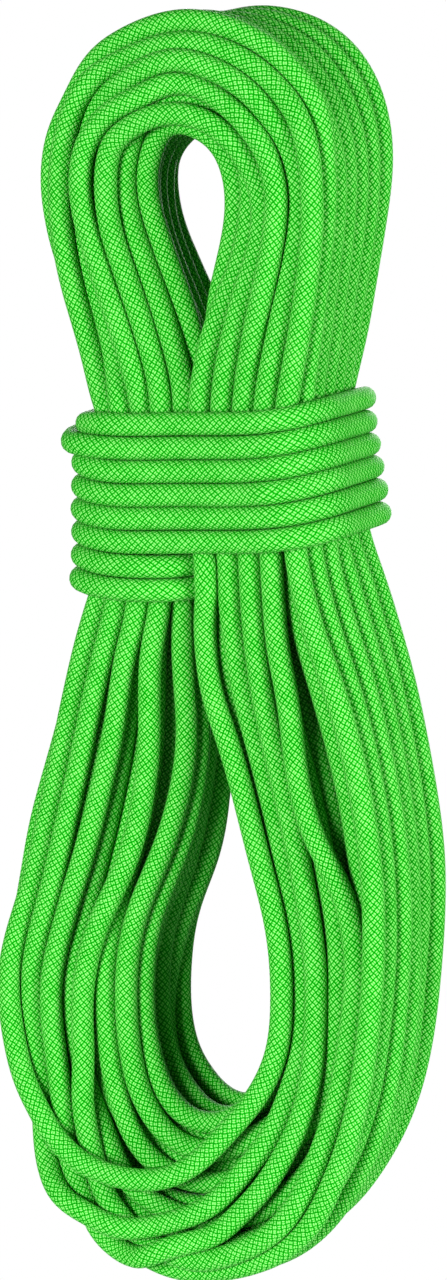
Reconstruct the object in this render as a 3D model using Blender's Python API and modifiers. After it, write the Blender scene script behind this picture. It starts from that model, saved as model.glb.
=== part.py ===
"""A 9.8 mm dynamic climbing rope, 40 m long, put up as a hank that hangs by its upper loop.

Units are metres and +Z is up. The origin is the point that carries the hank: the inner top of the upper loop.
+X is to the right of someone facing the hank, whose front looks along -Y.
The turns lie flat against each other, and wraps of the same rope bind them at the waist.
"""

import math

import bpy
from mathutils import Vector

# Rope
ROPE_DIAMETER = 0.0098
CLEARANCE = 0.0003  # gap left between two pieces that touch on the real rope
SHEATH_WALL = 0.00085
CORE_STRAND_RADIUS = 0.0011
CORE_STRAND_COUNT = 6  # strands round the middle one
MARKER_THREAD_RADIUS = 0.0003
MARKER_THREAD_OFFSET = 0.0033

# Hank, as three flat groups of turns from front to back
PLY_LAYERS = (("front", 2), ("middle", 3), ("back", 2))  # how many ropes thick each group is
WAIST_CENTRE_X = 0.0095
WAIST_TOP_Z = -0.118
WAIST_BOTTOM_Z = -0.206
WAIST_TUCK = 0.009  # how far the wraps draw in the front and back groups
TUCK_FADE = 0.06  # height over which that drawing-in fades out

# Wraps round the waist
WRAP_COUNT = 6
WRAP_TOP_Z = -0.1255
WRAP_HALF_WIDTH = 0.0570
WRAP_HALF_DEPTH = 0.0402
WRAP_CORNER_RADIUS = 0.020
WRAP_TILT = math.radians(3.0)  # the right side of each wrap is the higher one
LEFT_WRAP_COUNT = 2  # the lowest wraps go round the left-hand turns only
LEFT_WRAP_CENTRE_X = -0.0195
LEFT_WRAP_HALF_WIDTH = 0.0277

# Tails: where each one hangs, where it starts to swing and how long it is
TAIL_GAP = 0.006  # clear length under the pivot, so that a swinging tail's rim touches nothing
TAIL_RING_SPACING = 0.015
START_TAIL = {"x": 0.036, "y": 0.041, "pivot_z": -0.202, "length": 0.112}
FINISH_TAIL = {"x": -0.010, "y": 0.0515, "pivot_z": -0.152, "length": 0.118}
TAIL_BOW = 0.002  # sideways bow of a hanging tail
LEAD_BEND_RADIUS = 0.026
SLEEVE_LENGTH = 0.028
SLEEVE_WALL = 0.0005
FUSED_END_THICKNESS = 0.003

# Outer outline of the turns in the XZ plane, clockwise from the top, seen from the front
OUTER_OUTLINE = (
    (0.0040, 0.0490),
    (0.0350, 0.0420),
    (0.0590, 0.0230),
    (0.0700, -0.0080),
    (0.0690, -0.0420),
    (0.0630, -0.0830),
    (0.0600, -0.1120),
    (0.0600, -0.1600),
    (0.0615, -0.1840),
    (0.0760, -0.2250),
    (0.0860, -0.2660),
    (0.0930, -0.3080),
    (0.0950, -0.3500),
    (0.0910, -0.3980),
    (0.0760, -0.4410),
    (0.0470, -0.4760),
    (0.0050, -0.4920),
    (-0.0400, -0.4830),
    (-0.0680, -0.4540),
    (-0.0810, -0.4100),
    (-0.0810, -0.3660),
    (-0.0740, -0.3180),
    (-0.0640, -0.2720),
    (-0.0520, -0.2320),
    (-0.0415, -0.2070),
    (-0.0415, -0.1600),
    (-0.0415, -0.1210),
    (-0.0530, -0.0830),
    (-0.0660, -0.0450),
    (-0.0680, -0.0100),
    (-0.0570, 0.0200),
    (-0.0310, 0.0410),
)

# The upper loop's opening, which carries the hank
UPPER_OPENING = (
    (0.0000, 0.0000),
    (0.0150, -0.0080),
    (0.0195, -0.0260),
    (0.0190, -0.0520),
    (0.0110, -0.0830),
    (0.0060, -0.1060),
    (-0.0040, -0.0830),
    (-0.0200, -0.0520),
    (-0.0240, -0.0260),
    (-0.0170, -0.0080),
)

# The lower loop's opening, with the slot above it that the left-hand wraps pass through
LOWER_OPENING = (
    (0.0095, -0.1780),
    (0.0140, -0.1840),
    (0.0142, -0.2100),
    (0.0160, -0.2450),
    (0.0290, -0.2920),
    (0.0405, -0.3400),
    (0.0400, -0.3840),
    (0.0200, -0.4180),
    (-0.0050, -0.4180),
    (-0.0220, -0.3920),
    (-0.0240, -0.3520),
    (-0.0110, -0.2960),
    (0.0000, -0.2450),
    (0.0028, -0.2100),
    (0.0028, -0.1840),
)

ROPE_GREEN = (0.03, 0.72, 0.06, 1.0)
INNER_GREEN = (0.01, 0.30, 0.03, 1.0)
CORE_WHITE = (0.85, 0.85, 0.82, 1.0)
MARKER_BLUE = (0.05, 0.15, 0.60, 1.0)
SLEEVE_BLACK = (0.02, 0.02, 0.02, 1.0)

PARTS = bpy.data.collections.new("climbing_rope_hank")


def clear_scene():
    for obj in list(bpy.data.objects):
        bpy.data.objects.remove(obj, do_unlink=True)
    bpy.context.scene.collection.children.link(PARTS)


def plain_material(name, colour, roughness):
    material = bpy.data.materials.new(name)
    material.use_nodes = True
    surface = material.node_tree.nodes["Principled BSDF"]
    surface.inputs["Base Color"].default_value = colour
    surface.inputs["Roughness"].default_value = roughness
    surface.inputs["Metallic"].default_value = 0.0
    return material


def add_object(name, data, material, parent=None):
    """Puts a new named object in the parts collection, where its parent's axis is if it has one."""
    obj = bpy.data.objects.new(name, data)
    obj.data.materials.append(material)
    PARTS.objects.link(obj)
    obj.parent = parent
    return obj


def drawn_in(z, tuck):
    """How far the wraps draw in a point at this height, when they draw the waist in by tuck."""
    above = max(z - WAIST_TOP_Z, 0.0)
    below = max(WAIST_BOTTOM_Z - z, 0.0)
    return tuck * max(0.0, 1.0 - (above + below) / TUCK_FADE)


def outer_outline(tuck):
    """The outer outline with both sides of the waist drawn in."""
    outline = []
    for x, z in OUTER_OUTLINE:
        side = 1.0 if x > WAIST_CENTRE_X else -1.0
        outline.append((x - side * drawn_in(z, tuck), z))
    return outline


def lower_opening(tuck):
    """The lower opening, with the left-hand turns drawn in where their own wraps pass."""
    outline = []
    for x, z in LOWER_OPENING:
        on_left_side = x < LEFT_WRAP_CENTRE_X + LEFT_WRAP_HALF_WIDTH
        outline.append((x - drawn_in(z, tuck) if on_left_side else x, z))
    return outline


def turns(name, front_y, back_y, tuck, material):
    """One group of flat turns: the hank's outline with its two openings, as thick as the group."""
    curve = bpy.data.curves.new(name, "CURVE")
    curve.dimensions = "2D"
    curve.fill_mode = "BOTH"
    curve.resolution_u = 3
    curve.extrude = (back_y - front_y) / 2
    for outline in (outer_outline(tuck), UPPER_OPENING, lower_opening(tuck)):
        spline = curve.splines.new("BEZIER")
        spline.bezier_points.add(len(outline) - 1)
        spline.use_cyclic_u = True
        for point, (x, z) in zip(spline.bezier_points, outline):
            point.co = (x, z, 0.0)
            point.handle_left_type = "AUTO"
            point.handle_right_type = "AUTO"
    obj = add_object(name, curve, material)
    obj.rotation_euler = (math.pi / 2, 0.0, 0.0)
    obj.location = (0.0, (front_y + back_y) / 2, 0.0)
    return obj


def hank_turns(material):
    total_layers = sum(layers for _, layers in PLY_LAYERS)
    y = -ROPE_DIAMETER * total_layers / 2
    for side, layers in PLY_LAYERS:
        thickness = ROPE_DIAMETER * layers
        tuck = 0.0 if side == "middle" else WAIST_TUCK
        turns(f"hank_turns_{side}", y, y + thickness - CLEARANCE, tuck, material)
        y += thickness


def rope_curve(name, points, radius, bevel_resolution, closed=False, capped=True):
    """A round tube of this radius along the points."""
    curve = bpy.data.curves.new(name, "CURVE")
    curve.dimensions = "3D"
    curve.bevel_depth = radius
    curve.bevel_resolution = bevel_resolution
    curve.use_fill_caps = capped
    spline = curve.splines.new("POLY")
    spline.points.add(len(points) - 1)
    spline.use_cyclic_u = closed
    for point, position in zip(spline.points, points):
        point.co = (*position, 1.0)
    return curve


def rounded_rectangle(half_width, half_depth, corner_radius, points_per_corner=6):
    """Points round a rounded rectangle in the XY plane, with its corners as arcs."""
    corners = ((1, 1, 0.0), (-1, 1, 0.5), (-1, -1, 1.0), (1, -1, 1.5))
    points = []
    for side_x, side_y, start in corners:
        centre = Vector((side_x * (half_width - corner_radius), side_y * (half_depth - corner_radius), 0.0))
        for step in range(points_per_corner):
            angle = math.pi * (start + 0.5 * step / (points_per_corner - 1))
            points.append(centre + corner_radius * Vector((math.cos(angle), math.sin(angle), 0.0)))
    return points


def wrap_ring(name, centre_x, z, half_width, material):
    """One turn of rope round the waist, lying at the wraps' tilt."""
    ring = rounded_rectangle(half_width, WRAP_HALF_DEPTH, WRAP_CORNER_RADIUS)
    radius = (ROPE_DIAMETER - CLEARANCE) / 2
    obj = add_object(name, rope_curve(name, ring, radius, bevel_resolution=2, closed=True), material)
    obj.location = (centre_x, 0.0, z)
    obj.rotation_euler = (0.0, -WRAP_TILT, 0.0)


def waist_wraps(material):
    for index in range(WRAP_COUNT):
        z = WRAP_TOP_Z - index * ROPE_DIAMETER
        wrap_ring(f"waist_wrap_{index + 1}", WAIST_CENTRE_X, z, WRAP_HALF_WIDTH, material)
    drop = (WAIST_CENTRE_X - LEFT_WRAP_CENTRE_X) * math.tan(WRAP_TILT)
    for index in range(LEFT_WRAP_COUNT):
        z = WRAP_TOP_Z - (WRAP_COUNT + index) * ROPE_DIAMETER - drop
        wrap_ring(f"left_wrap_{index + 1}", LEFT_WRAP_CENTRE_X, z, LEFT_WRAP_HALF_WIDTH, material)


def tail_pivot(name, tail):
    """An empty on the axis that a tail swings about."""
    pivot = bpy.data.objects.new(f"{name}_pivot", None)
    pivot.location = (tail["x"], tail["y"], tail["pivot_z"])
    PARTS.objects.link(pivot)
    return pivot


def tail_route(length, offset_x, offset_y):
    """Points down a hanging tail from its pivot, beside its centre by the offsets.

    It bows a little sideways above its sleeve and is straight inside it.
    """
    steps = round((length - TAIL_GAP) / TAIL_RING_SPACING)
    bare_length = length - TAIL_GAP - SLEEVE_LENGTH
    route = []
    for step in range(steps + 1):
        drop = (length - TAIL_GAP) * step / steps
        bow = TAIL_BOW * math.sin(math.pi * min(drop / bare_length, 1.0)) ** 2
        route.append((offset_x + bow, offset_y, -TAIL_GAP - drop))
    return route


def tail_sheath(name, tail, pivot, material):
    """The braided sheath as a hollow tube, open at both ends."""
    route = tail_route(tail["length"], 0.0, 0.0)
    curve = rope_curve(name, route, ROPE_DIAMETER / 2, bevel_resolution=4, capped=False)
    obj = add_object(name, curve, material, pivot)
    wall = obj.modifiers.new("wall", "SOLIDIFY")
    wall.thickness = SHEATH_WALL
    wall.offset = -1.0


def tail_core(name, tail, pivot, strand_material, thread_material):
    """Core strands, one in the middle and the others round it, and the marker thread between two of them."""
    spacing = 2 * CORE_STRAND_RADIUS + CLEARANCE
    places = [(0.0, 0.0)]
    for index in range(CORE_STRAND_COUNT):
        angle = 2 * math.pi * index / CORE_STRAND_COUNT
        places.append((spacing * math.cos(angle), spacing * math.sin(angle)))
    for index, (x, y) in enumerate(places):
        strand_name = f"{name}_core_strand_{index + 1}"
        route = tail_route(tail["length"], x, y)
        strand = rope_curve(strand_name, route, CORE_STRAND_RADIUS, bevel_resolution=1)
        add_object(strand_name, strand, strand_material, pivot)
    between = math.pi / CORE_STRAND_COUNT
    x = MARKER_THREAD_OFFSET * math.cos(between)
    y = MARKER_THREAD_OFFSET * math.sin(between)
    thread_name = f"{name}_marker_thread"
    route = tail_route(tail["length"], x, y)
    thread = rope_curve(thread_name, route, MARKER_THREAD_RADIUS, bevel_resolution=0)
    add_object(thread_name, thread, thread_material, pivot)


def turned_piece(name, profile, pivot, material):
    """A profile of radius and height turned about the tail's axis. It runs down the outer side."""
    mesh = bpy.data.meshes.new(name)
    points = [(radius, 0.0, z) for radius, z in profile]
    count = len(points)
    mesh.from_pydata(points, [(i, (i + 1) % count) for i in range(count)], [])
    obj = add_object(name, mesh, material, pivot)
    screw = obj.modifiers.new("turn", "SCREW")
    screw.steps = 16
    screw.render_steps = 16
    screw.use_merge_vertices = True
    screw.merge_threshold = 0.00001
    screw.use_smooth_shade = True
    return obj


def tail_sleeve(name, tail, pivot, material):
    """The shrunk sleeve round the last of the sheath."""
    inner = ROPE_DIAMETER / 2 + CLEARANCE
    outer = inner + SLEEVE_WALL
    bottom = -tail["length"] - CLEARANCE - FUSED_END_THICKNESS
    top = bottom + SLEEVE_LENGTH
    turned_piece(name, [(outer, top), (outer, bottom), (inner, bottom), (inner, top)], pivot, material)


def tail_fused_end(name, tail, pivot, material):
    """The melted plug of sheath and core that ends the rope, with a flat face."""
    radius = ROPE_DIAMETER / 2
    top = -tail["length"] - CLEARANCE
    bevel = FUSED_END_THICKNESS / 4
    mesh = bpy.data.meshes.new(name)
    rim = [(0.0, top), (radius, top), (radius, top - FUSED_END_THICKNESS + bevel)]
    rim += [(radius - bevel, top - FUSED_END_THICKNESS), (0.0, top - FUSED_END_THICKNESS)]
    mesh.from_pydata([(r, 0.0, z) for r, z in rim], [(i, i + 1) for i in range(len(rim) - 1)], [])
    obj = add_object(name, mesh, material, pivot)
    screw = obj.modifiers.new("turn", "SCREW")
    screw.steps = 16
    screw.render_steps = 16
    screw.use_merge_vertices = True
    screw.merge_threshold = 0.00001
    return obj


def tail(name, place, materials):
    """A free end of the rope: everything in it hangs from one pivot."""
    pivot = tail_pivot(name, place)
    tail_sheath(f"{name}_sheath", place, pivot, materials["sheath"])
    tail_core(name, place, pivot, materials["core"], materials["marker"])
    tail_sleeve(f"{name}_sleeve", place, pivot, materials["sleeve"])
    tail_fused_end(f"{name}_fused_end", place, pivot, materials["fused"])


def start_lead(place, material):
    """The start tail's short fixed stretch, straight down from under the wraps."""
    top_z = WRAP_TOP_Z - WRAP_COUNT * ROPE_DIAMETER + ROPE_DIAMETER / 3
    route = [(place["x"], place["y"], z) for z in (top_z, place["pivot_z"] + CLEARANCE)]
    curve = rope_curve("start_tail_lead", route, ROPE_DIAMETER / 2, bevel_resolution=2)
    add_object("start_tail_lead", curve, material)


def finish_lead(place, material):
    """The finish tail's fixed stretch: it leaves the top wrap at the back and curves down over the others."""
    bend_centre = Vector((place["x"] + LEAD_BEND_RADIUS, place["y"], place["pivot_z"] + CLEARANCE))
    route = [bend_centre + Vector((LEAD_BEND_RADIUS, 0.0, LEAD_BEND_RADIUS))]
    steps = 6
    for step in range(steps + 1):
        angle = math.pi / 2 * (1.0 + step / steps)
        route.append(bend_centre + LEAD_BEND_RADIUS * Vector((math.cos(angle), 0.0, math.sin(angle))))
    curve = rope_curve("finish_tail_lead", route, ROPE_DIAMETER / 2, bevel_resolution=2)
    add_object("finish_tail_lead", curve, material)


def main():
    clear_scene()
    sheath = plain_material("rope_sheath", ROPE_GREEN, 0.75)
    materials = {
        "sheath": sheath,
        "core": plain_material("rope_core", CORE_WHITE, 0.8),
        "marker": plain_material("marker_thread", MARKER_BLUE, 0.7),
        "sleeve": plain_material("end_sleeve", SLEEVE_BLACK, 0.45),
        "fused": plain_material("fused_end", INNER_GREEN, 0.35),
    }
    hank_turns(sheath)
    waist_wraps(sheath)
    start_lead(START_TAIL, sheath)
    finish_lead(FINISH_TAIL, sheath)
    tail("start_tail", START_TAIL, materials)
    tail("finish_tail", FINISH_TAIL, materials)


main()
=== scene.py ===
"""The looks of the climbing rope hank: its turns, pressed against each other, its wraps and its tails.

Units are metres, in the frame of the CAD model: the origin is the inner top of the upper loop, +Z is up
and -Y is the front. The whole rope is worked out as one centreline, from the start tail to the finish
tail, and then covered in stretches.
"""

import math

import bpy
import numpy as np
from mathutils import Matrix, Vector
from mathutils.kdtree import KDTree


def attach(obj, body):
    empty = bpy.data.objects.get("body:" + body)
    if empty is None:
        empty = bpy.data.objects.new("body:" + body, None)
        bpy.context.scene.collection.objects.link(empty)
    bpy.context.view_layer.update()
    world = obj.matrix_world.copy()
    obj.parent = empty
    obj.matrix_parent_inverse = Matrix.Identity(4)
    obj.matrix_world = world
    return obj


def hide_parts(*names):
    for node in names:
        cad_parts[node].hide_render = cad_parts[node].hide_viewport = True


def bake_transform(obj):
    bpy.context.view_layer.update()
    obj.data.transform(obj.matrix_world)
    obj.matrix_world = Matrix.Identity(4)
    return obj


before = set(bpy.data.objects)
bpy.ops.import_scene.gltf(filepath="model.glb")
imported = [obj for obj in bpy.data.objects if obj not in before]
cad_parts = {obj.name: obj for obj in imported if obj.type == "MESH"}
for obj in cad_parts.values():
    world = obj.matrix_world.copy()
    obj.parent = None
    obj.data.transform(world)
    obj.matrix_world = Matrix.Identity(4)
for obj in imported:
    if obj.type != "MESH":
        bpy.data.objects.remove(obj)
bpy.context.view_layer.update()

# Rope
ROPE_DIAMETER = 0.0098
ROPE_RADIUS = ROPE_DIAMETER / 2
NODE_SPACING = 0.005  # distance between the centreline's points while it is pressed together
MARK_SEARCH = 60  # how many of those points either side of the expected one may start a part of the rope
MESH_SAMPLES = 2  # rings of the mesh for each of those points
TUBE_SIDES = 16
NEARLY_ALONG_Y = 0.3  # a stretch that starts at an angle to Y with a smaller sine takes X as its guide
TINY = 1e-6  # the least distance to divide by

# How the turns are pressed together: a share of the way back to the designed place at each step, and
# how far a point gives way to its neighbours, from 0 to 1
TURN_HOLD = 0.008
FRONT_HOLD = 0.022
FRONT_MOBILITY = 0.5
WRAP_HOLD = 0.05
WRAP_MOBILITY = 0.25
TAIL_HOLD = 0.6
TAIL_MOBILITY = 0.01
PRESSED_APART = 1.025 * ROPE_DIAMETER  # the distance between the middles of turns that touch
CONTACT_REACH = 1.5 * ROPE_DIAMETER  # points nearer than this may come to touch within a round
CONTACT_SKIPPED = 4  # points this near along the rope don't push each other
PRESS_ROUNDS = 48  # each finds anew which points are near each other
PRESS_STEPS = 12  # in a round

# What one step puts right: a share of a bend, of a stretch at each of its ends, and of an overlap,
# which is then divided by how many overlaps the point has
BEND_SHARE = 0.5
STRETCH_SHARE = 0.25
OVERLAP_SHARE = 1.6

# Braid of the sheath
CARRIERS_ROUND = 11  # pairs of yarns round the sheath in each direction
PICK_LENGTH = 0.0029  # the braid's repeat along the rope
FILAMENTS_ACROSS = 8
BRAID_RELIEF = 0.0004
PAIR_EDGE = 0.3
DIVE_EDGE = 0.6
YARN_SHARE = 0.55  # of the height, as against the pair's own rounding
YARN_UNEVENNESS = 0.12  # how much lighter or darker one pair is than another
# The braid's colours by height: a painted highlight on the yarns' crests, the yarns' own green, and painted
# shade in the creases where the pairs dive
YARN_PAINTED_HIGHLIGHT = (0.200, 0.59, 0.135, 1.0)
YARN_GREEN = (0.006, 0.42, 0.005, 1.0)
YARN_PAINTED_CREASE_SHADE = (0.0, 0.19, 0.0, 1.0)
YARN_HEIGHTS = (0.28, 0.57, 0.86)  # where the painted crease shade, the yarns' own green and the painted highlight on the crests lie on the ramp
SLOW_UNEVENNESS = 0.20  # the sheath's slow change of shade along the rope
SLOW_SCALE = 60.0
SLOW_DETAIL = 2.0
FILAMENT_RELIEF = 0.06  # of the braid's own
BRAID_BUMP = 0.7
SHEATH_ROUGHNESS = 0.62
SHEATH_SPECULAR = 0.05

# Strands and threads inside the tails: their own light colours and darker colours as painted shade in the
# grooves between the plies, length of the lay and roughness
STRAND_COLOUR_AND_PAINTED_SHADE = ((0.86, 0.86, 0.83, 1.0), (0.60, 0.60, 0.57, 1.0))
STRAND_LAY = 0.006
STRAND_ROUGHNESS = 0.75
THREAD_COLOUR_AND_PAINTED_SHADE = ((0.05, 0.16, 0.62, 1.0), (0.02, 0.06, 0.30, 1.0))
THREAD_LAY = 0.002
THREAD_ROUGHNESS = 0.65
PLIES = 3  # in each strand or thread
WAVE_DIVISOR = 20  # the wave texture's scale is the plies per metre of length over this
WAVE_DISTORTION = 1.5
TWIST_RELIEF = 0.0002

# Sleeves and fused ends: plain and worn colours, roughness, and scale and height of the unevenness
SLEEVE_COLOURS = ((0.014, 0.014, 0.015, 1.0), (0.045, 0.045, 0.047, 1.0))
SLEEVE_ROUGHNESS = 0.42
SLEEVE_SCALE = 700.0
SLEEVE_RELIEF = 0.0001
FUSED_COLOURS = ((0.008, 0.20, 0.010, 1.0), (0.05, 0.42, 0.03, 1.0))
FUSED_ROUGHNESS = 0.30
FUSED_SCALE = 900.0
FUSED_RELIEF = 0.0003
MOTTLE_DETAIL = 5.0
PART_BUMP = 0.5  # of these four materials

# Hank
LEVELS = 5  # turns side by side, from the outside of the loops to their openings
LAYERS = 7  # turns deep, from front to back
FRONT_ORDER = (1, 2, 3, 0, 4)  # levels of the front layer's turns in the order that the rope lays them

# Stations round one turn, from the right side of the waist up, over the top, down the left and back up.
# Each has the outermost strand's X and Z, the innermost strand's X and Z, a layer's depth in diameters,
# and how far the wraps draw in the outermost strands of the front and back layers.
STATIONS = (
    (0.0555, -0.155, 0.0115, -0.155, 0.97, -0.0045),
    (0.0545, -0.120, 0.0105, -0.120, 0.97, -0.0045),
    (0.0590, -0.080, 0.0165, -0.083, 0.99, -0.0015),
    (0.0622, -0.040, 0.0300, -0.048, 0.96, 0.0),
    (0.0605, -0.008, 0.0305, -0.024, 0.96, 0.0),
    (0.0480, 0.018, 0.0235, -0.006, 0.96, 0.0),
    (0.0250, 0.0355, 0.0120, 0.002, 0.96, 0.0),
    (-0.0015, 0.0425, -0.0010, 0.0055, 0.96, 0.0),
    (-0.0215, 0.0320, -0.0135, 0.002, 0.96, 0.0),
    (-0.0415, 0.0140, -0.0225, -0.007, 0.96, 0.0),
    (-0.0540, -0.011, -0.0245, -0.023, 0.96, 0.0),
    (-0.0530, -0.045, -0.0200, -0.048, 0.96, 0.0),
    (-0.0432, -0.083, -0.0060, -0.083, 0.97, 0.001),
    (-0.0380, -0.120, 0.0020, -0.120, 0.97, 0.004),
    (-0.0370, -0.155, 0.0025, -0.155, 0.97, 0.004),
    (-0.0380, -0.192, -0.0005, -0.192, 0.97, 0.003),
    (-0.0475, -0.225, -0.0025, -0.225, 0.97, 0.001),
    (-0.0575, -0.270, -0.0035, -0.262, 0.93, 0.0),
    (-0.0690, -0.318, -0.0130, -0.300, 0.88, 0.0),
    (-0.0770, -0.365, -0.0290, -0.340, 0.85, 0.0),
    (-0.0710, -0.408, -0.0310, -0.372, 0.85, 0.0),
    (-0.0600, -0.448, -0.0260, -0.400, 0.87, 0.0),
    (-0.0365, -0.477, -0.0140, -0.421, 0.90, 0.0),
    (0.0050, -0.486, 0.0040, -0.430, 0.90, 0.0),
    (0.0465, -0.472, 0.0200, -0.424, 0.90, 0.0),
    (0.0735, -0.437, 0.0380, -0.408, 0.88, 0.0),
    (0.0850, -0.398, 0.0480, -0.384, 0.86, 0.0),
    (0.0880, -0.350, 0.0505, -0.345, 0.86, 0.0),
    (0.0860, -0.308, 0.0425, -0.306, 0.88, 0.0),
    (0.0800, -0.268, 0.0300, -0.262, 0.92, 0.0),
    (0.0710, -0.230, 0.0165, -0.228, 0.97, 0.0),
    (0.0590, -0.192, 0.0115, -0.192, 0.97, -0.001),
)
STATION_COUNT = len(STATIONS)
STATION_SAMPLES = 24  # steps of the guide from each station to the next
TURN_SAMPLES = 400  # points along a turn before it is joined to the others

# How far the back layer's strands are from the front layer's: station, outermost X, innermost X
# and innermost Z
BACK_SHIFTS = (
    (0.0, 0.0, 0.0, 0.0),
    (2.5, 0.0, 0.0, 0.0),
    (5.0, 0.011, 0.0, 0.0),
    (6.0, 0.017, 0.0, 0.0),
    (7.0, 0.010, 0.0, 0.0),
    (8.0, 0.001, -0.004, 0.0),
    (9.0, -0.005, -0.011, 0.0),
    (11.0, -0.008, -0.014, 0.0),
    (13.0, 0.0, 0.0, 0.0),
    (17.0, 0.0, 0.0, 0.0),
    (18.5, 0.0, 0.011, 0.0),
    (20.5, 0.0, 0.003, 0.0),
    (22.5, 0.0, 0.0, 0.006),
    (25.0, 0.001, 0.0, 0.0),
    (28.0, 0.013, 0.0, 0.0),
    (30.0, 0.014, 0.0, 0.0),
    (31.0, 0.014, 0.0, 0.0),
    (31.4, 0.009, 0.0, 0.0),
    (32.0, 0.0, 0.0, 0.0),
)

# Where every second level lies half a strand deeper than its neighbours, so that the strands nest:
# station and share
NESTING = (
    (0.0, 0.0),
    (1.5, 0.0),
    (3.5, 1.0),
    (11.0, 1.0),
    (13.0, 0.0),
    (24.0, 0.0),
    (26.5, 0.7),
    (29.0, 0.7),
    (31.0, 0.0),
)
NESTING_DEPTH = 0.5

# A gap that opens between two groups of strands: its middle station and half length in stations, the level
# that it is at, how many layers deep it goes, and how far each group moves aside
GAPS = (
    (28.2, 2.2, 1.6, 3.0, 0.0042),
    (18.6, 2.4, 2.5, 2.5, 0.0026),
)
GAP_EDGE = 0.5  # in levels, how gradually the two groups part

# Where a turn passes from its place to the next turn's, under the wraps on the right
SWAP_START = 31.4
SWAP_END = 32.9
FIRST_TURN_SKIPPED = 25  # points of the first turn that the lead-in from the start tail takes the place of
LEFT_WAIST = 14  # the station where the last turn ends
LEFT_WAIST_REACHED = LEFT_WAIST - 0.5  # where the front layer's turns are back in their own levels

# Where a turn behind the front layer passes to its place in the right leg, round the lower loop's foot
CROSSING_START = 18.5
CROSSING_END = 26.5

# The front layer's levels at the right, top and left of the upper loop, and its layers there
UPPER_LOOP_STATIONS = (3.0, 7.0, 10.5)
UPPER_LOOP_LEVELS = {
    0: (0.10, 0.60, 0.20),
    1: (1.05, 1.55, 0.90),
    2: (2.05, 2.55, 1.70),
    3: (3.10, 4.00, 2.85),
    4: (4.00, 3.25, 3.90),
}
UPPER_LOOP_LAYERS = {
    0: (0.0, 0.0, 0.0),
    1: (0.0, 0.0, 0.6),
    2: (0.0, 0.0, 0.1),
    3: (0.0, -0.2, -0.2),
    4: (0.7, 0.65, 0.9),
}

# The front layer's levels and layers round the foot of the lower loop, where its strands change sides:
# the outermost one on the left crosses over the others and is the innermost one on the right.
FOOT_STATIONS = (16.0, 18.0, 20.2, 21.2, 22.2, 23.0, 24.0, 25.2, 27.0, 28.7, 30.2)
FOOT_LEVELS = {
    0: (0.0, 0.1, 0.0, 1.0, 2.1, 3.1, 3.7, 4.0, 4.0, 4.0, 4.0),
    1: (1.0, 0.95, 0.5, 0.05, 0.8, 1.7, 2.6, 3.1, 3.35, 3.3, 3.1),
    2: (2.0, 1.9, 1.2, 0.45, 0.0, 0.7, 1.7, 2.4, 2.75, 2.6, 2.3),
    3: (3.0, 3.05, 2.2, 1.3, 0.4, 0.0, 0.15, 0.8, 0.9, 1.8, 1.5),
}
FOOT_LAYERS = {
    0: (0.0, 0.0, -0.6, -1.0, -1.1, -1.0, -0.8, -0.3, 0.0, 0.0, 0.0),
    1: (0.0, 0.0, 0.0, -0.2, -0.5, -0.6, -0.4, 0.1, 0.3, 0.2, 0.0),
    2: (0.0, 0.0, 0.0, 0.1, -0.1, -0.3, -0.3, -0.1, 0.0, 0.0, 0.0),
    3: (0.0, 0.0, 0.0, 0.2, 0.2, 0.1, 0.0, 0.0, 0.2, -0.1, 0.0),
}

# Wraps round the waist
WRAP_COUNT = 6
LEFT_WRAP_COUNT = 2
WRAP_TOP_Z = -0.1255
WRAP_LEFT_X = -0.0470
WRAP_RIGHT_X = 0.0625  # of the top wrap
WRAP_RIGHT_GROWTH = 0.0016  # how much further right each lower wrap reaches
LEFT_WRAP_RIGHT_X = 0.0080
WRAP_HALF_DEPTH = 0.0402
WRAP_CORNER_RADIUS = 0.020
WRAP_CORNER_STEPS = 8
LAST_WRAP_SKIPPED = 8  # points of the last wrap that the lead to the finish tail takes the place of
WRAP_TILT = 0.016  # rise per metre towards the right, besides the winding's own
WRAP_SMILE = 0.0058  # how much higher a wrap is at its sides than at its middle
TOP_WRAP_TUCK = 0.0035  # the top wrap's left end is this much further right, inside the next wrap's
TOP_WRAP_DROP = 0.0065  # and this much lower
SECOND_WRAP_BULGE = 0.0040  # and the next wrap bulges this far left round it

PARTED_RIGHT = 0.0065  # how far the left-hand wraps push the right bundle's inner strands aside
PARTED_RIGHT_STATION = 31.0
PARTED_LEFT = 0.0025  # and the left bundle's, the other way
PARTED_LEFT_STATION = 15.2
PARTED_REACH = 1.5  # in stations

# How far a turn strays from its place, as a sum of slow waves
WANDER_SEED = 40
WANDER_WAVES = 5
WANDER_ACROSS = 0.14  # in levels
WANDER_DEEP = 0.12  # in layers

# Tails
START_TAIL = {"x": 0.036, "y": 0.041, "pivot_z": -0.202, "length": 0.112}
FINISH_TAIL = {"x": -0.010, "y": 0.0515, "pivot_z": -0.152, "length": 0.118}
TAIL_BOW = 0.002  # sideways bow of a hanging tail
TAIL_GAP = 0.006  # from the pivot down to the tail's first point
TAIL_SAMPLES = 12
SLEEVE_LENGTH = 0.028
LEAD_BEND_RADIUS = 0.026
LEAD_BEND_STEPS = 7

# Stretches
PART_SAMPLES = 4  # from each point of a lead to the next
JOIN_SPACING = 4 * NODE_SPACING  # between the points that the joined line is drawn through
JOIN_SAMPLES = 6
TURNS_IN_PIECE = 2
REPLACED_BY_TURN = {  # the ply of the CAD model that the piece starting with this turn replaces
    0: ("hank_turns_back",),
    16: ("hank_turns_middle",),
    30: ("hank_turns_front",),
}

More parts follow.
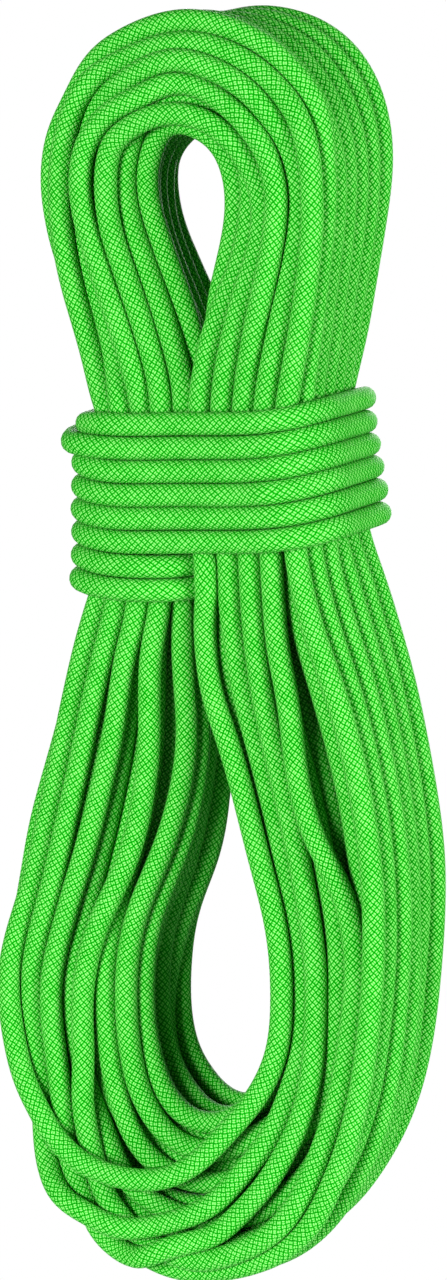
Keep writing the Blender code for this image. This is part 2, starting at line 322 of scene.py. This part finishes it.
# Studio
CAMERA_AZIMUTH = 25.0
CAMERA_ELEVATION = 8.0
CAMERA_DISTANCE = 2.3
CAMERA_LENS = 152.0
CAMERA_TARGET = (0.0066, 0.003, -0.219)
AMBIENT_LIGHT = 0.09
STUDIO_LIGHTS = (  # name, place, size and power
    ("front", (-0.15, -2.3, 0.0), 0.8, 88.0),
    ("left", (-1.9, -0.9, 0.1), 1.0, 4.0),
    ("right", (2.1, -0.3, 0.1), 1.0, 68.0),
    ("back", (-0.7, 2.4, 0.2), 1.4, 75.0),
)
WHITE = (1.0, 1.0, 1.0, 1.0)
FLOOR_Z = -0.70
FLOOR_RADIUS = 0.55
FLOOR_SIDES = 96
FLOOR_COLOUR = (0.86, 0.86, 0.85, 1.0)
FLOOR_ROUGHNESS = 0.9


def spline_through(points, samples, closed=False):
    """A smooth curve through the points, with the given number of samples from each to the next."""
    points = np.asarray(points, float)
    count = len(points)
    if closed:
        before, after, ahead = (np.roll(points, shift, axis=0) for shift in (1, -1, -2))
        starts = points
    else:
        padded = np.vstack([2 * points[0] - points[1], points, 2 * points[-1] - points[-2]])
        before, starts, after, ahead = (padded[i : i + count - 1] for i in range(4))
    t = np.arange(samples) / samples
    t = t[None, :, None]
    a, b, c, d = (p[:, None, :] for p in (before, starts, after, ahead))
    curve = 0.5 * (2 * b + (c - a) * t + (2 * a - 5 * b + 4 * c - d) * t**2 + (3 * b - a - 3 * c + d) * t**3)
    curve = curve.reshape(-1, points.shape[1])
    return curve if closed else np.vstack([curve, points[-1:]])


def evenly_spaced(points, spacing):
    """The same line with points this far apart along it."""
    steps = np.linalg.norm(np.diff(points, axis=0), axis=1)
    along = np.concatenate([[0.0], np.cumsum(steps)])
    count = max(2, int(round(along[-1] / spacing)) + 1)
    wanted = np.linspace(0.0, along[-1], count)
    return np.column_stack([np.interp(wanted, along, points[:, axis]) for axis in range(3)])


def eased(value, keys):
    """A value that goes smoothly from key to key, each key being a position and a value there."""
    positions = np.array([position for position, _ in keys])
    values = np.array([level for _, level in keys])
    index = np.clip(np.searchsorted(positions, value, side="right") - 1, 0, len(positions) - 2)
    t = np.clip((value - positions[index]) / (positions[index + 1] - positions[index]), 0.0, 1.0)
    t = t * t * (3 - 2 * t)
    return values[index] + (values[index + 1] - values[index]) * t


def hank_slots():
    """The level and layer of each turn over the top, from the back layer to the front one."""
    slots = []
    for layer in range(LAYERS - 1, 0, -1):
        levels = range(LEVELS)
        if (LAYERS - 1 - layer) % 2:
            levels = reversed(levels)
        slots += [(level, layer) for level in levels]
    return slots + [(level, 0) for level in FRONT_ORDER]


GUIDE = spline_through(STATIONS, STATION_SAMPLES, closed=True)
GUIDE = np.vstack([GUIDE, GUIDE[:1]])


def place(station, level, layer):
    """Points at these stations, levels (0 outermost) and layers (0 front)."""
    at = np.clip(station * STATION_SAMPLES, 0, len(GUIDE) - 1)
    grid = np.arange(len(GUIDE))
    outer_x, outer_z, inner_x, inner_z, depth, tuck = (np.interp(at, grid, GUIDE[:, i]) for i in range(6))
    middle = (LAYERS - 1) / 2
    outer_x = outer_x + tuck * ((layer - middle) / middle) ** 2
    back = layer / (LAYERS - 1)
    shift = np.array(BACK_SHIFTS)
    outer_x = outer_x + back * np.interp(station, shift[:, 0], shift[:, 1])
    inner_x = inner_x + back * np.interp(station, shift[:, 0], shift[:, 2])
    inner_z = inner_z + back * np.interp(station, shift[:, 0], shift[:, 3])
    inward = level / (LEVELS - 1)
    x = outer_x + (inner_x - outer_x) * inward
    z = outer_z + (inner_z - outer_z) * inward
    # The left-hand wraps pass between the two bundles behind the front layer.
    inside = np.clip(inward, 0, 1) ** 2 * np.clip(layer, 0, 1)
    parted_right = PARTED_RIGHT * beside(station, PARTED_RIGHT_STATION)
    parted_left = PARTED_LEFT * beside(station, PARTED_LEFT_STATION)
    x = x + inside * (parted_right - parted_left)
    for centre, half_length, parted_level, deep, aside in GAPS:
        fade = np.clip(1 - ((station - centre) / half_length) ** 2, 0, 1) * np.clip(1 - layer / deep, 0, 1)
        side = np.tanh((parted_level - level) / GAP_EDGE) * np.sign(outer_x - inner_x)
        x = x + aside * fade * side
    nesting = NESTING_DEPTH * np.interp(station, *zip(*NESTING)) * (np.sin(math.pi / 2 * level) ** 2 - 0.5)
    y = (layer - middle + nesting) * depth * ROPE_DIAMETER
    return np.column_stack([x, y, z])


def beside(station, centre):
    """1 at the centre station, fading to 0 at the reach either side of it."""
    return np.clip(PARTED_REACH - np.abs(station - centre), 0, 1)


def wander(rng, station, size):
    """A slow drift of about this size along a turn, nothing where a whole turn starts and ends."""
    drift = np.zeros_like(station)
    for waves in range(1, WANDER_WAVES + 1):
        drift += rng.normal(0, 1 / waves) * np.sin(math.pi * waves * station / STATION_COUNT)
    return size * drift


def foot_of(slots, index):
    """The level and layer at which turn index comes back up to the waist on the right."""
    level, layer = slots[index]
    if layer == 0:
        return LEVELS - 1 - level, 0
    next_level, next_layer = slots[index + 1]
    if next_layer == 0:
        return 0, 0
    return next_level, next_layer


def turn_points(index, slots, rng):
    """One turn of the rope, from the right side of the waist all round to where the next turn starts."""
    level, layer = slots[index]
    last = index == len(slots) - 1
    end = LEFT_WAIST if last else STATION_COUNT
    station = np.linspace(0, end, TURN_SAMPLES)
    before_level, before_layer = foot_of(slots, index - 1) if index else (level, layer)
    level_keys = [(SWAP_START - STATION_COUNT, before_level), (SWAP_END - STATION_COUNT, level)]
    layer_keys = [(SWAP_START - STATION_COUNT, before_layer), (SWAP_END - STATION_COUNT, layer)]
    if layer == 0:
        level_keys += list(zip(UPPER_LOOP_STATIONS, UPPER_LOOP_LEVELS[level]))
        layer_keys += list(zip(UPPER_LOOP_STATIONS, UPPER_LOOP_LAYERS[level]))
        level_keys.append((LEFT_WAIST_REACHED, level))
        layer_keys.append((LEFT_WAIST_REACHED, 0.0))
    if not last:
        foot_level, foot_layer = foot_of(slots, index)
        if layer == 0:
            level_keys += list(zip(FOOT_STATIONS, FOOT_LEVELS[level]))
            layer_keys += list(zip(FOOT_STATIONS, FOOT_LAYERS[level]))
        else:
            level_keys += [(CROSSING_START, level), (CROSSING_END, foot_level)]
            layer_keys += [(CROSSING_START, layer), (CROSSING_END, foot_layer)]
        next_level, next_layer = slots[index + 1]
        level_keys += [(SWAP_START, foot_level), (SWAP_END, next_level)]
        layer_keys += [(SWAP_START, foot_layer), (SWAP_END, next_layer)]
    levels = eased(station, level_keys) + wander(rng, station, WANDER_ACROSS)
    layers = eased(station, layer_keys) + wander(rng, station, WANDER_DEEP)
    return place(station, levels, layers)


def rounded_rectangle(left_x, right_x):
    """Points round a wrap, from the middle of its back, going left, seen from above."""
    radius = WRAP_CORNER_RADIUS
    left, right = left_x + radius, right_x - radius
    corners = ((left, 1, 0.5), (left, -1, 1.0), (right, -1, 1.5), (right, 1, 2.0))
    middle = ((left_x + right_x) / 2, WRAP_HALF_DEPTH)
    points = [middle]
    for corner_x, side_y, start in corners:
        corner_y = side_y * (WRAP_HALF_DEPTH - radius)
        for step in range(WRAP_CORNER_STEPS + 1):
            angle = math.pi * (start + 0.5 * step / WRAP_CORNER_STEPS)
            points.append((corner_x + radius * math.cos(angle), corner_y + radius * math.sin(angle)))
    points.append(middle)
    return np.array(points)


def wrap_points():
    """The winding round the waist, from the bottom of the left-hand turns up."""
    rounds = []
    total = LEFT_WRAP_COUNT + WRAP_COUNT
    centre_x = (WRAP_LEFT_X + WRAP_RIGHT_X) / 2
    half_width = (WRAP_RIGHT_X - WRAP_LEFT_X) / 2
    for index in range(total):
        below_top = total - 1 - index
        right_x = WRAP_RIGHT_X + below_top * WRAP_RIGHT_GROWTH
        if index < LEFT_WRAP_COUNT:
            right_x = LEFT_WRAP_RIGHT_X
        left_x = WRAP_LEFT_X + {0: TOP_WRAP_TUCK, 1: -SECOND_WRAP_BULGE}.get(below_top, 0.0)
        outline = rounded_rectangle(left_x, right_x)
        steps = np.linalg.norm(np.diff(outline, axis=0), axis=1)
        along = np.concatenate([[0.0], np.cumsum(steps)])
        done = along / along[-1]
        aside = outline[:, 0] - centre_x
        z = WRAP_TOP_Z + (done - 0.5 - below_top) * ROPE_DIAMETER + aside * WRAP_TILT
        z += WRAP_SMILE * (aside / half_width) ** 2
        if below_top == 0:
            in_front = np.clip(-outline[:, 1] / WRAP_HALF_DEPTH, 0, 1)
            z -= TOP_WRAP_DROP * in_front * np.clip(-aside / half_width, 0, 1) ** 4
        rounds.append(np.column_stack([outline, z])[:-1])
    for index in (0, LEFT_WRAP_COUNT):
        # What comes before these turns already lies left of the middle of their backs.
        rounds[index] = rounds[index][1:]
    rounds[-1] = rounds[-1][:-LAST_WRAP_SKIPPED]
    return np.vstack(rounds)


def joined(*stretches):
    """Stretches end to end as one smooth line."""
    line = np.vstack([evenly_spaced(np.asarray(stretch, float), JOIN_SPACING) for stretch in stretches])
    keep = np.concatenate([[True], np.linalg.norm(np.diff(line, axis=0), axis=1) > NODE_SPACING])
    return evenly_spaced(spline_through(line[keep], JOIN_SAMPLES), NODE_SPACING)


def tail_points(tail):
    """Points down a tail from its pivot to its flat end, with a little bow above the sleeve."""
    reach = tail["length"] - TAIL_GAP
    drop = np.linspace(0.0, reach, TAIL_SAMPLES)
    bow = TAIL_BOW * np.sin(math.pi * np.minimum(drop / (reach - SLEEVE_LENGTH), 1.0)) ** 2
    x = np.full_like(drop, tail["x"]) + bow
    y = np.full_like(drop, tail["y"])
    points = np.column_stack([x, y, tail["pivot_z"] - TAIL_GAP - drop])
    return np.vstack([[(tail["x"], tail["y"], tail["pivot_z"])], points])


def finish_bend(tail):
    """Points round the quarter turn from the wraps' back down to the finish tail's pivot."""
    centre_x = tail["x"] + LEAD_BEND_RADIUS
    points = []
    for step in range(LEAD_BEND_STEPS):
        angle = math.pi / 2 * (1 + step / LEAD_BEND_STEPS)
        x = centre_x + LEAD_BEND_RADIUS * math.cos(angle)
        points.append((x, tail["y"], tail["pivot_z"] + LEAD_BEND_RADIUS * math.sin(angle)))
    return points


def rope_line():
    """The designed centreline, and its parts in order, each with its name."""
    rng = np.random.default_rng(WANDER_SEED)
    slots = hank_slots()
    x, y, pivot_z = (START_TAIL[key] for key in ("x", "y", "pivot_z"))
    start = np.vstack(
        [tail_points(START_TAIL)[::-1], [(x, y, pivot_z + 0.010), (x + 0.002, y - 0.002, pivot_z + 0.022)]]
    )
    lead_in = [(x + 0.006, y - 0.007, -0.163), (0.0475, 0.0290, -0.140), (0.0500, 0.0285, -0.118)]
    turns = [turn_points(index, slots, rng) for index in range(len(slots))]
    turns[0] = turns[0][FIRST_TURN_SKIPPED:]
    dive = [
        (0.0045, -0.020, -0.168),
        (0.0075, -0.008, -0.182),
        (0.0075, 0.010, -0.193),
        (0.0020, 0.030, -0.1985),
    ]
    over_wraps = [(0.050, 0.0475, -0.1185), (0.034, FINISH_TAIL["y"], -0.1222)]
    finish = np.vstack([finish_bend(FINISH_TAIL), tail_points(FINISH_TAIL)])
    parts = [
        ("start", spline_through(start, PART_SAMPLES)),
        ("lead_in", spline_through(lead_in, PART_SAMPLES)),
    ]
    parts += [(f"turn_{index}", turn) for index, turn in enumerate(turns)]
    parts += [
        ("dive", spline_through(dive, 2 * PART_SAMPLES)),
        ("wraps", wrap_points()),
        ("over_wraps", spline_through(over_wraps, PART_SAMPLES)),
        ("finish", spline_through(finish, PART_SAMPLES)),
    ]
    return joined(*(points for _, points in parts)), parts


def touching_pairs(points, reach, apart):
    """Pairs of points nearer than reach that aren't near each other along the rope."""
    tree = KDTree(len(points))
    for index, point in enumerate(points):
        tree.insert(point, index)
    tree.balance()
    first, second = [], []
    for index, point in enumerate(points):
        for _, other, _ in tree.find_range(point, reach):
            if other > index + apart:
                first.append(index)
                second.append(other)
    return np.array(first), np.array(second)


def scatter(indexes, values, count):
    """The sum of the values that belong to each of the points."""
    return np.column_stack([np.bincount(indexes, values[:, axis], count) for axis in range(3)])


def pressed(line, hold, mobility):
    """The line after its turns have pushed each other apart, keeping their length and bending gently."""
    points = line.copy()
    count = len(points)
    rest = np.linalg.norm(np.diff(points, axis=0), axis=1)
    for _ in range(PRESS_ROUNDS):
        first, second = touching_pairs(points, CONTACT_REACH, CONTACT_SKIPPED)
        for _ in range(PRESS_STEPS):
            points += hold[:, None] * (line - points)
            # Bending: each point moves towards the cubic through its neighbours.
            inner = points[2:-2]
            target = (4 * (points[1:-3] + points[3:-1]) - (points[:-4] + points[4:])) / 6
            points[2:-2] = inner + BEND_SHARE * (target - inner)
            # Length
            step = points[1:] - points[:-1]
            length = np.linalg.norm(step, axis=1)
            change = (STRETCH_SHARE * (length - rest) / length)[:, None] * step
            points[:-1] += change
            points[1:] -= change
            # Contact
            gap = points[first] - points[second]
            distance = np.linalg.norm(gap, axis=1)
            deep = distance < PRESSED_APART
            gap, distance = gap[deep], distance[deep]
            one, two = first[deep], second[deep]
            push = gap * ((PRESSED_APART - distance) / np.maximum(distance, TINY))[:, None]
            share = (mobility[one] / (mobility[one] + mobility[two]))[:, None]
            moved = scatter(one, push * share, count) - scatter(two, push * (1 - share), count)
            touches = np.bincount(one, minlength=count) + np.bincount(two, minlength=count)
            points += moved * (OVERLAP_SHARE / np.maximum(touches, 1))[:, None]
    return points


def hold_and_mobility(line, marks):
    """How firmly each point keeps to its designed place, and how easily its neighbours move it."""
    hold = np.full(len(line), TURN_HOLD)
    mobility = np.ones(len(line))
    front = slice(marks[f"turn_{LEVELS * (LAYERS - 1)}"], marks["dive"])
    hold[front] = FRONT_HOLD
    mobility[front] = FRONT_MOBILITY
    wraps = slice(marks["wraps"], marks["over_wraps"])
    hold[wraps] = WRAP_HOLD
    mobility[wraps] = WRAP_MOBILITY
    for tail in (slice(0, marks["lead_in"]), slice(marks["finish"], len(line))):
        hold[tail] = TAIL_HOLD
        mobility[tail] = TAIL_MOBILITY
    return hold, mobility


def marks_along(line, parts):
    """The index in the line at which each part of the rope starts."""
    marks, expected = {}, 0.0
    for name, part in parts:
        low = max(0, int(expected / NODE_SPACING) - MARK_SEARCH)
        window = line[low : low + 2 * MARK_SEARCH]
        found = low + int(np.argmin(np.linalg.norm(window - part[0], axis=1)))
        marks[name] = found
        expected = found * NODE_SPACING + np.linalg.norm(np.diff(part, axis=0), axis=1).sum()
    return marks


def tube(name, path):
    """A closed tube along the path. Its map's U goes round the rope, and its V runs along it in metres."""
    sides = TUBE_SIDES
    path = np.asarray(path, float)
    count = len(path)
    tangents = np.gradient(path, axis=0)
    tangents /= np.linalg.norm(tangents, axis=1)[:, None]
    normals = np.empty_like(path)
    normal = np.cross(tangents[0], (0.0, 1.0, 0.0))
    if np.linalg.norm(normal) < NEARLY_ALONG_Y:
        normal = np.cross(tangents[0], (1.0, 0.0, 0.0))
    for index in range(count):
        normal = normal - tangents[index] * np.dot(normal, tangents[index])
        normal /= np.linalg.norm(normal)
        normals[index] = normal
    across = np.cross(tangents, normals)
    angles = 2 * np.pi * np.arange(sides) / sides
    cosines, sines = np.cos(angles)[None, :, None], np.sin(angles)[None, :, None]
    ring = cosines * normals[:, None, :] + sines * across[:, None, :]
    vertices = (path[:, None, :] + ROPE_RADIUS * ring).reshape(-1, 3)
    along = np.concatenate([[0.0], np.cumsum(np.linalg.norm(np.diff(path, axis=0), axis=1))])
    i, j = np.meshgrid(np.arange(count - 1), np.arange(sides), indexing="ij")
    after = (j + 1) % sides
    this_ring, next_ring = i * sides, (i + 1) * sides
    faces = np.stack([this_ring + j, this_ring + after, next_ring + after, next_ring + j], axis=-1)
    faces = faces.reshape(-1, 4)
    u = np.stack([j, j + 1, j + 1, j], axis=-1) / sides
    v = np.stack([along[i], along[i], along[i + 1], along[i + 1]], axis=-1)
    mesh = bpy.data.meshes.new(name)
    mesh.vertices.add(len(vertices))
    mesh.vertices.foreach_set("co", vertices.ravel())
    loops = faces.size + 2 * sides
    mesh.loops.add(loops)
    caps = np.concatenate([np.arange(sides)[::-1], (count - 1) * sides + np.arange(sides)])
    mesh.loops.foreach_set("vertex_index", np.concatenate([faces.ravel(), caps]))
    mesh.polygons.add(len(faces) + 2)
    starts = np.concatenate([4 * np.arange(len(faces)), [faces.size, faces.size + sides]])
    mesh.polygons.foreach_set("loop_start", starts)
    uv_map = mesh.uv_layers.new(name="rope")
    cap_uv = np.zeros((2 * sides, 2))
    uv = np.vstack([np.stack([u, v], axis=-1).reshape(-1, 2), cap_uv])
    uv_map.data.foreach_set("uv", uv.ravel())
    mesh.update(calc_edges=True)
    mesh.shade_smooth()
    obj = bpy.data.objects.new(name, mesh)
    bpy.context.scene.collection.objects.link(obj)
    return obj


class Nodes:
    """Short calls for a material's nodes."""

    def __init__(self, name):
        self.material = bpy.data.materials.new(name)
        self.material.use_nodes = True
        self.tree = self.material.node_tree
        self.surface = self.tree.nodes["Principled BSDF"]

    def add(self, kind, **settings):
        node = self.tree.nodes.new(kind)
        for key, value in settings.items():
            setattr(node, key, value)
        return node

    def put(self, socket, value):
        if isinstance(value, bpy.types.NodeSocket):
            self.tree.links.new(value, socket)
        else:
            socket.default_value = value

    def math(self, operation, *values):
        node = self.add("ShaderNodeMath", operation=operation)
        for socket, value in zip(node.inputs, values):
            self.put(socket, value)
        return node.outputs[0]

    def choose(self, factor, chosen, other):
        node = self.add("ShaderNodeMix", data_type="FLOAT")
        self.put(node.inputs["Factor"], factor)
        self.put(node.inputs["A"], other)
        self.put(node.inputs["B"], chosen)
        return node.outputs["Result"]

    def mix(self, factor, first, second):
        node = self.add("ShaderNodeMix", data_type="RGBA")
        self.put(node.inputs["Factor"], factor)
        self.put(node.inputs["A"], first)
        self.put(node.inputs["B"], second)
        return node.outputs["Result"]


def braid_heights(nodes, around, along):
    """A braid of paired yarns, one over and one under.

    The height is 0 where a pair dives and 1 on a yarn's crest. The number tells the pair on top from the
    others. The last value is the place across that pair, from 0 to 1.
    """
    right = nodes.math("ADD", around, along)
    left = nodes.math("SUBTRACT", around, along)
    right_cell, left_cell = nodes.math("FLOOR", right), nodes.math("FLOOR", left)
    right_part, left_part = nodes.math("FRACT", right), nodes.math("FRACT", left)
    phase = nodes.math("FLOORED_MODULO", nodes.math("ADD", right_cell, left_cell), 2.0)
    right_on_top = nodes.math("LESS_THAN", phase, 0.5)
    across = nodes.choose(right_on_top, right_part, left_part)
    over = nodes.choose(right_on_top, left_part, right_part)
    pair = nodes.math("POWER", nodes.math("SINE", nodes.math("MULTIPLY", across, math.pi)), PAIR_EDGE)
    yarn = nodes.math("ABSOLUTE", nodes.math("SINE", nodes.math("MULTIPLY", across, 2 * math.pi)))
    yarns = nodes.math("MULTIPLY_ADD", yarn, YARN_SHARE, nodes.math("MULTIPLY", pair, 1 - YARN_SHARE))
    dive = nodes.math("POWER", nodes.math("SINE", nodes.math("MULTIPLY", over, math.pi)), DIVE_EDGE)
    number = nodes.choose(right_on_top, right_cell, nodes.math("ADD", left_cell, 0.5))
    return nodes.math("MULTIPLY", yarns, dive), number, across


def braid_material():
    """The sheath: bright green yarns in pairs, each pair with its own shade and its own filaments, with
    painted shade where the pairs dive and a painted highlight on the yarns' crests.
    """
    nodes = Nodes("rope_braid")
    uv = nodes.add("ShaderNodeUVMap", uv_map="rope")
    parts = nodes.add("ShaderNodeSeparateXYZ")
    nodes.put(parts.inputs[0], uv.outputs[0])
    around = nodes.math("MULTIPLY", parts.outputs[0], float(CARRIERS_ROUND))
    along = nodes.math("DIVIDE", parts.outputs[1], PICK_LENGTH)
    height, number, across = braid_heights(nodes, around, along)
    shade = nodes.add("ShaderNodeTexWhiteNoise", noise_dimensions="1D")
    nodes.put(shade.inputs["W"], number)
    slow = nodes.add("ShaderNodeTexNoise", noise_dimensions="3D")
    slow.inputs["Scale"].default_value = SLOW_SCALE
    slow.inputs["Detail"].default_value = SLOW_DETAIL
    of_pair = nodes.math("MULTIPLY_ADD", shade.outputs["Value"], YARN_UNEVENNESS, -YARN_UNEVENNESS / 2)
    along_rope = nodes.math("MULTIPLY_ADD", slow.outputs["Fac"], SLOW_UNEVENNESS, -SLOW_UNEVENNESS / 2)
    # The random tone of each pair and along the rope, plus the braid's height as painted shade and painted
    # highlight
    tone_and_painted_shading = nodes.math("ADD", nodes.math("ADD", of_pair, height), along_rope)
    ramp = nodes.add("ShaderNodeValToRGB")
    nodes.put(ramp.inputs["Fac"], tone_and_painted_shading)
    colours = ramp.color_ramp
    # Painted shade in the creases where the pairs dive, the yarns' own green, and a painted highlight on the
    # crests
    painted_shade_height, green_height, painted_highlight_height = YARN_HEIGHTS
    colours.elements[0].position = painted_shade_height
    colours.elements[0].color = YARN_PAINTED_CREASE_SHADE
    colours.elements[1].position = painted_highlight_height
    colours.elements[1].color = YARN_PAINTED_HIGHLIGHT
    middle = colours.elements.new(green_height)
    middle.color = YARN_GREEN
    nodes.put(nodes.surface.inputs["Base Color"], ramp.outputs["Color"])
    nodes.surface.inputs["Roughness"].default_value = SHEATH_ROUGHNESS
    nodes.surface.inputs["Specular IOR Level"].default_value = SHEATH_SPECULAR
    filaments = nodes.math("SINE", nodes.math("MULTIPLY", across, 2 * math.pi * FILAMENTS_ACROSS))
    relief = nodes.math("MULTIPLY_ADD", filaments, FILAMENT_RELIEF, height)
    bump = nodes.add("ShaderNodeBump")
    bump.inputs["Strength"].default_value = BRAID_BUMP
    bump.inputs["Distance"].default_value = BRAID_RELIEF
    nodes.put(bump.inputs["Height"], relief)
    nodes.put(nodes.surface.inputs["Normal"], bump.outputs[0])
    return nodes.material


def twisted_material(name, colours, lay_length, roughness):
    """A twisted strand or thread: fine plies that wind round it, with painted shade in the grooves between
    them.
    """
    light, painted_groove_shade = colours
    nodes = Nodes(name)
    position = nodes.add("ShaderNodeNewGeometry").outputs["Position"]
    wave = nodes.add("ShaderNodeTexWave", wave_type="BANDS", bands_direction="DIAGONAL")
    nodes.put(wave.inputs["Vector"], position)
    wave.inputs["Scale"].default_value = PLIES / lay_length / WAVE_DIVISOR
    wave.inputs["Distortion"].default_value = WAVE_DISTORTION
    # The darker colour lies in the grooves, where the bump is lowest: painted shade
    nodes.put(nodes.surface.inputs["Base Color"], nodes.mix(wave.outputs["Fac"], painted_groove_shade, light))
    nodes.surface.inputs["Roughness"].default_value = roughness
    bump = nodes.add("ShaderNodeBump")
    bump.inputs["Strength"].default_value = PART_BUMP
    bump.inputs["Distance"].default_value = TWIST_RELIEF
    nodes.put(bump.inputs["Height"], wave.outputs["Fac"])
    nodes.put(nodes.surface.inputs["Normal"], bump.outputs[0])
    return nodes.material


def mottled_material(name, colours, roughness, scale, relief):
    """A shrunk or melted plastic: slight mottling and a fine uneven surface."""
    plain, worn = colours
    nodes = Nodes(name)
    position = nodes.add("ShaderNodeNewGeometry").outputs["Position"]
    noise = nodes.add("ShaderNodeTexNoise")
    nodes.put(noise.inputs["Vector"], position)
    noise.inputs["Scale"].default_value = scale
    noise.inputs["Detail"].default_value = MOTTLE_DETAIL
    nodes.put(nodes.surface.inputs["Base Color"], nodes.mix(noise.outputs["Fac"], plain, worn))
    nodes.surface.inputs["Roughness"].default_value = roughness
    bump = nodes.add("ShaderNodeBump")
    bump.inputs["Strength"].default_value = PART_BUMP
    bump.inputs["Distance"].default_value = relief
    nodes.put(bump.inputs["Height"], noise.outputs["Fac"])
    nodes.put(nodes.surface.inputs["Normal"], bump.outputs[0])
    return nodes.material


def finish_cad_nodes():
    """Detailed materials for the CAD nodes that stay: what is inside the tails and on their ends."""
    materials = {
        "core_strand": twisted_material("core_strand", STRAND_COLOUR_AND_PAINTED_SHADE, STRAND_LAY, STRAND_ROUGHNESS),
        "marker_thread": twisted_material("marker_thread", THREAD_COLOUR_AND_PAINTED_SHADE, THREAD_LAY, THREAD_ROUGHNESS),
        "sleeve": mottled_material(
            "shrunk_sleeve", SLEEVE_COLOURS, SLEEVE_ROUGHNESS, SLEEVE_SCALE, SLEEVE_RELIEF
        ),
        "fused_end": mottled_material(
            "fused_sheath", FUSED_COLOURS, FUSED_ROUGHNESS, FUSED_SCALE, FUSED_RELIEF
        ),
    }
    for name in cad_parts:
        for part, material in materials.items():
            if part in name:
                obj = bpy.data.objects[name]
                obj.data.materials.clear()
                obj.data.materials.append(material)


def rope_piece(name, path, material, replaced, **facts):
    """One stretch of the rope, with the CAD nodes that it replaces. Its facts as a cord are not used."""
    piece = tube(name, path)
    piece.data.materials.append(material)
    if replaced:
        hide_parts(*replaced)
    return piece


def blend_tail(piece):
    """The tail piece's transform, baked into its mesh."""
    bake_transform(piece)


def rope_pieces(line, marks, material):
    """The rope's meshes: the tails, the turns two by two, and the winding."""
    smooth = spline_through(line, MESH_SAMPLES)

    def stretch(start, end):
        return smooth[MESH_SAMPLES * start : MESH_SAMPLES * end + 1]

    first_turn = marks["lead_in"]
    winding = marks["dive"]
    finish = marks["over_wraps"]
    for name, body, tail, path in (
        ("rope_start", "start_tail", START_TAIL, stretch(0, first_turn)[::-1]),
        ("rope_finish", "finish_tail", FINISH_TAIL, stretch(finish, len(line) - 1)),
    ):
        on_tail = [bpy.data.objects[f"{body}_{part}"] for part in ("sleeve", "fused_end")]
        replaced = (f"{body}_lead", f"{body}_sheath")
        facts = {"far_end": "fitting", "lay": "hanging", "with_pieces": on_tail}
        piece = rope_piece(name, path, material, replaced, **facts)
        blend_tail(piece)
    turn_count = LEVELS * LAYERS
    coiled = {"far_end": "object", "lay": "coiled"}
    for index in range(0, turn_count, TURNS_IN_PIECE):
        following = index + TURNS_IN_PIECE
        start = marks[f"turn_{index}"] if index else first_turn
        end = marks[f"turn_{following}"] if following < turn_count else winding
        name = f"rope_turns_{index // TURNS_IN_PIECE + 1}"
        replaced = REPLACED_BY_TURN.get(index, ())
        piece = rope_piece(name, stretch(start, end), material, replaced, **coiled)
        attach(piece, "hank")
    replaced = [f"waist_wrap_{number + 1}" for number in range(WRAP_COUNT)]
    replaced += [f"left_wrap_{number + 1}" for number in range(LEFT_WRAP_COUNT)]
    piece = rope_piece("rope_wraps", stretch(winding, finish), material, replaced, **coiled)
    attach(piece, "hank")


def camera():
    """The camera, to the right of the hank's front and a little above it."""
    azimuth, elevation = math.radians(CAMERA_AZIMUTH), math.radians(CAMERA_ELEVATION)
    level_share = math.cos(elevation)
    direction = Vector(
        (math.sin(azimuth) * level_share, -math.cos(azimuth) * level_share, math.sin(elevation))
    )
    camera_object = bpy.data.objects.new("camera", bpy.data.cameras.new("camera"))
    camera_object.location = Vector(CAMERA_TARGET) + CAMERA_DISTANCE * direction
    camera_object.rotation_euler = (-direction).to_track_quat("-Z", "Y").to_euler()
    camera_object.data.lens = CAMERA_LENS
    bpy.context.scene.collection.objects.link(camera_object)
    bpy.context.scene.camera = camera_object


def studio_world():
    """White behind the hank, and a dimmer white that lights it."""
    world = bpy.data.worlds.new("studio")
    world.use_nodes = True
    tree = world.node_tree
    ambient = tree.nodes["Background"]
    ambient.inputs["Color"].default_value = WHITE
    ambient.inputs["Strength"].default_value = AMBIENT_LIGHT
    backdrop = tree.nodes.new("ShaderNodeBackground")
    backdrop.inputs["Color"].default_value = WHITE
    backdrop.inputs["Strength"].default_value = 1.0
    seen = tree.nodes.new("ShaderNodeLightPath")
    both = tree.nodes.new("ShaderNodeMixShader")
    tree.links.new(seen.outputs["Is Camera Ray"], both.inputs["Fac"])
    tree.links.new(ambient.outputs[0], both.inputs[1])
    tree.links.new(backdrop.outputs[0], both.inputs[2])
    tree.links.new(both.outputs[0], tree.nodes["World Output"].inputs["Surface"])
    bpy.context.scene.world = world
    bpy.context.scene.view_settings.view_transform = "Standard"


def studio_lights():
    """Square lamps round the hank, all turned towards its middle."""
    for name, location, size, power in STUDIO_LIGHTS:
        light = bpy.data.lights.new(name, "AREA")
        light.size = size
        light.energy = power
        lamp = bpy.data.objects.new(name, light)
        lamp.location = location
        lamp.rotation_euler = (Vector(CAMERA_TARGET) - Vector(location)).to_track_quat("-Z", "Y").to_euler()
        bpy.context.scene.collection.objects.link(lamp)


def floor():
    """A plain pale floor well below the hanging hank."""
    nodes = Nodes("floor")
    nodes.surface.inputs["Base Color"].default_value = FLOOR_COLOUR
    nodes.surface.inputs["Roughness"].default_value = FLOOR_ROUGHNESS
    bpy.ops.mesh.primitive_circle_add(
        vertices=FLOOR_SIDES, radius=FLOOR_RADIUS, fill_type="NGON", location=(0.0, 0.0, FLOOR_Z)
    )
    floor_object = bpy.context.object
    floor_object.name = "floor"
    floor_object.data.materials.append(nodes.material)


def main():
    camera()
    studio_world()
    studio_lights()
    floor()
    line, parts = rope_line()
    marks = marks_along(line, parts)
    hold, mobility = hold_and_mobility(line, marks)
    line = pressed(line, hold, mobility)
    rope_pieces(line, marks, braid_material())
    finish_cad_nodes()


main()
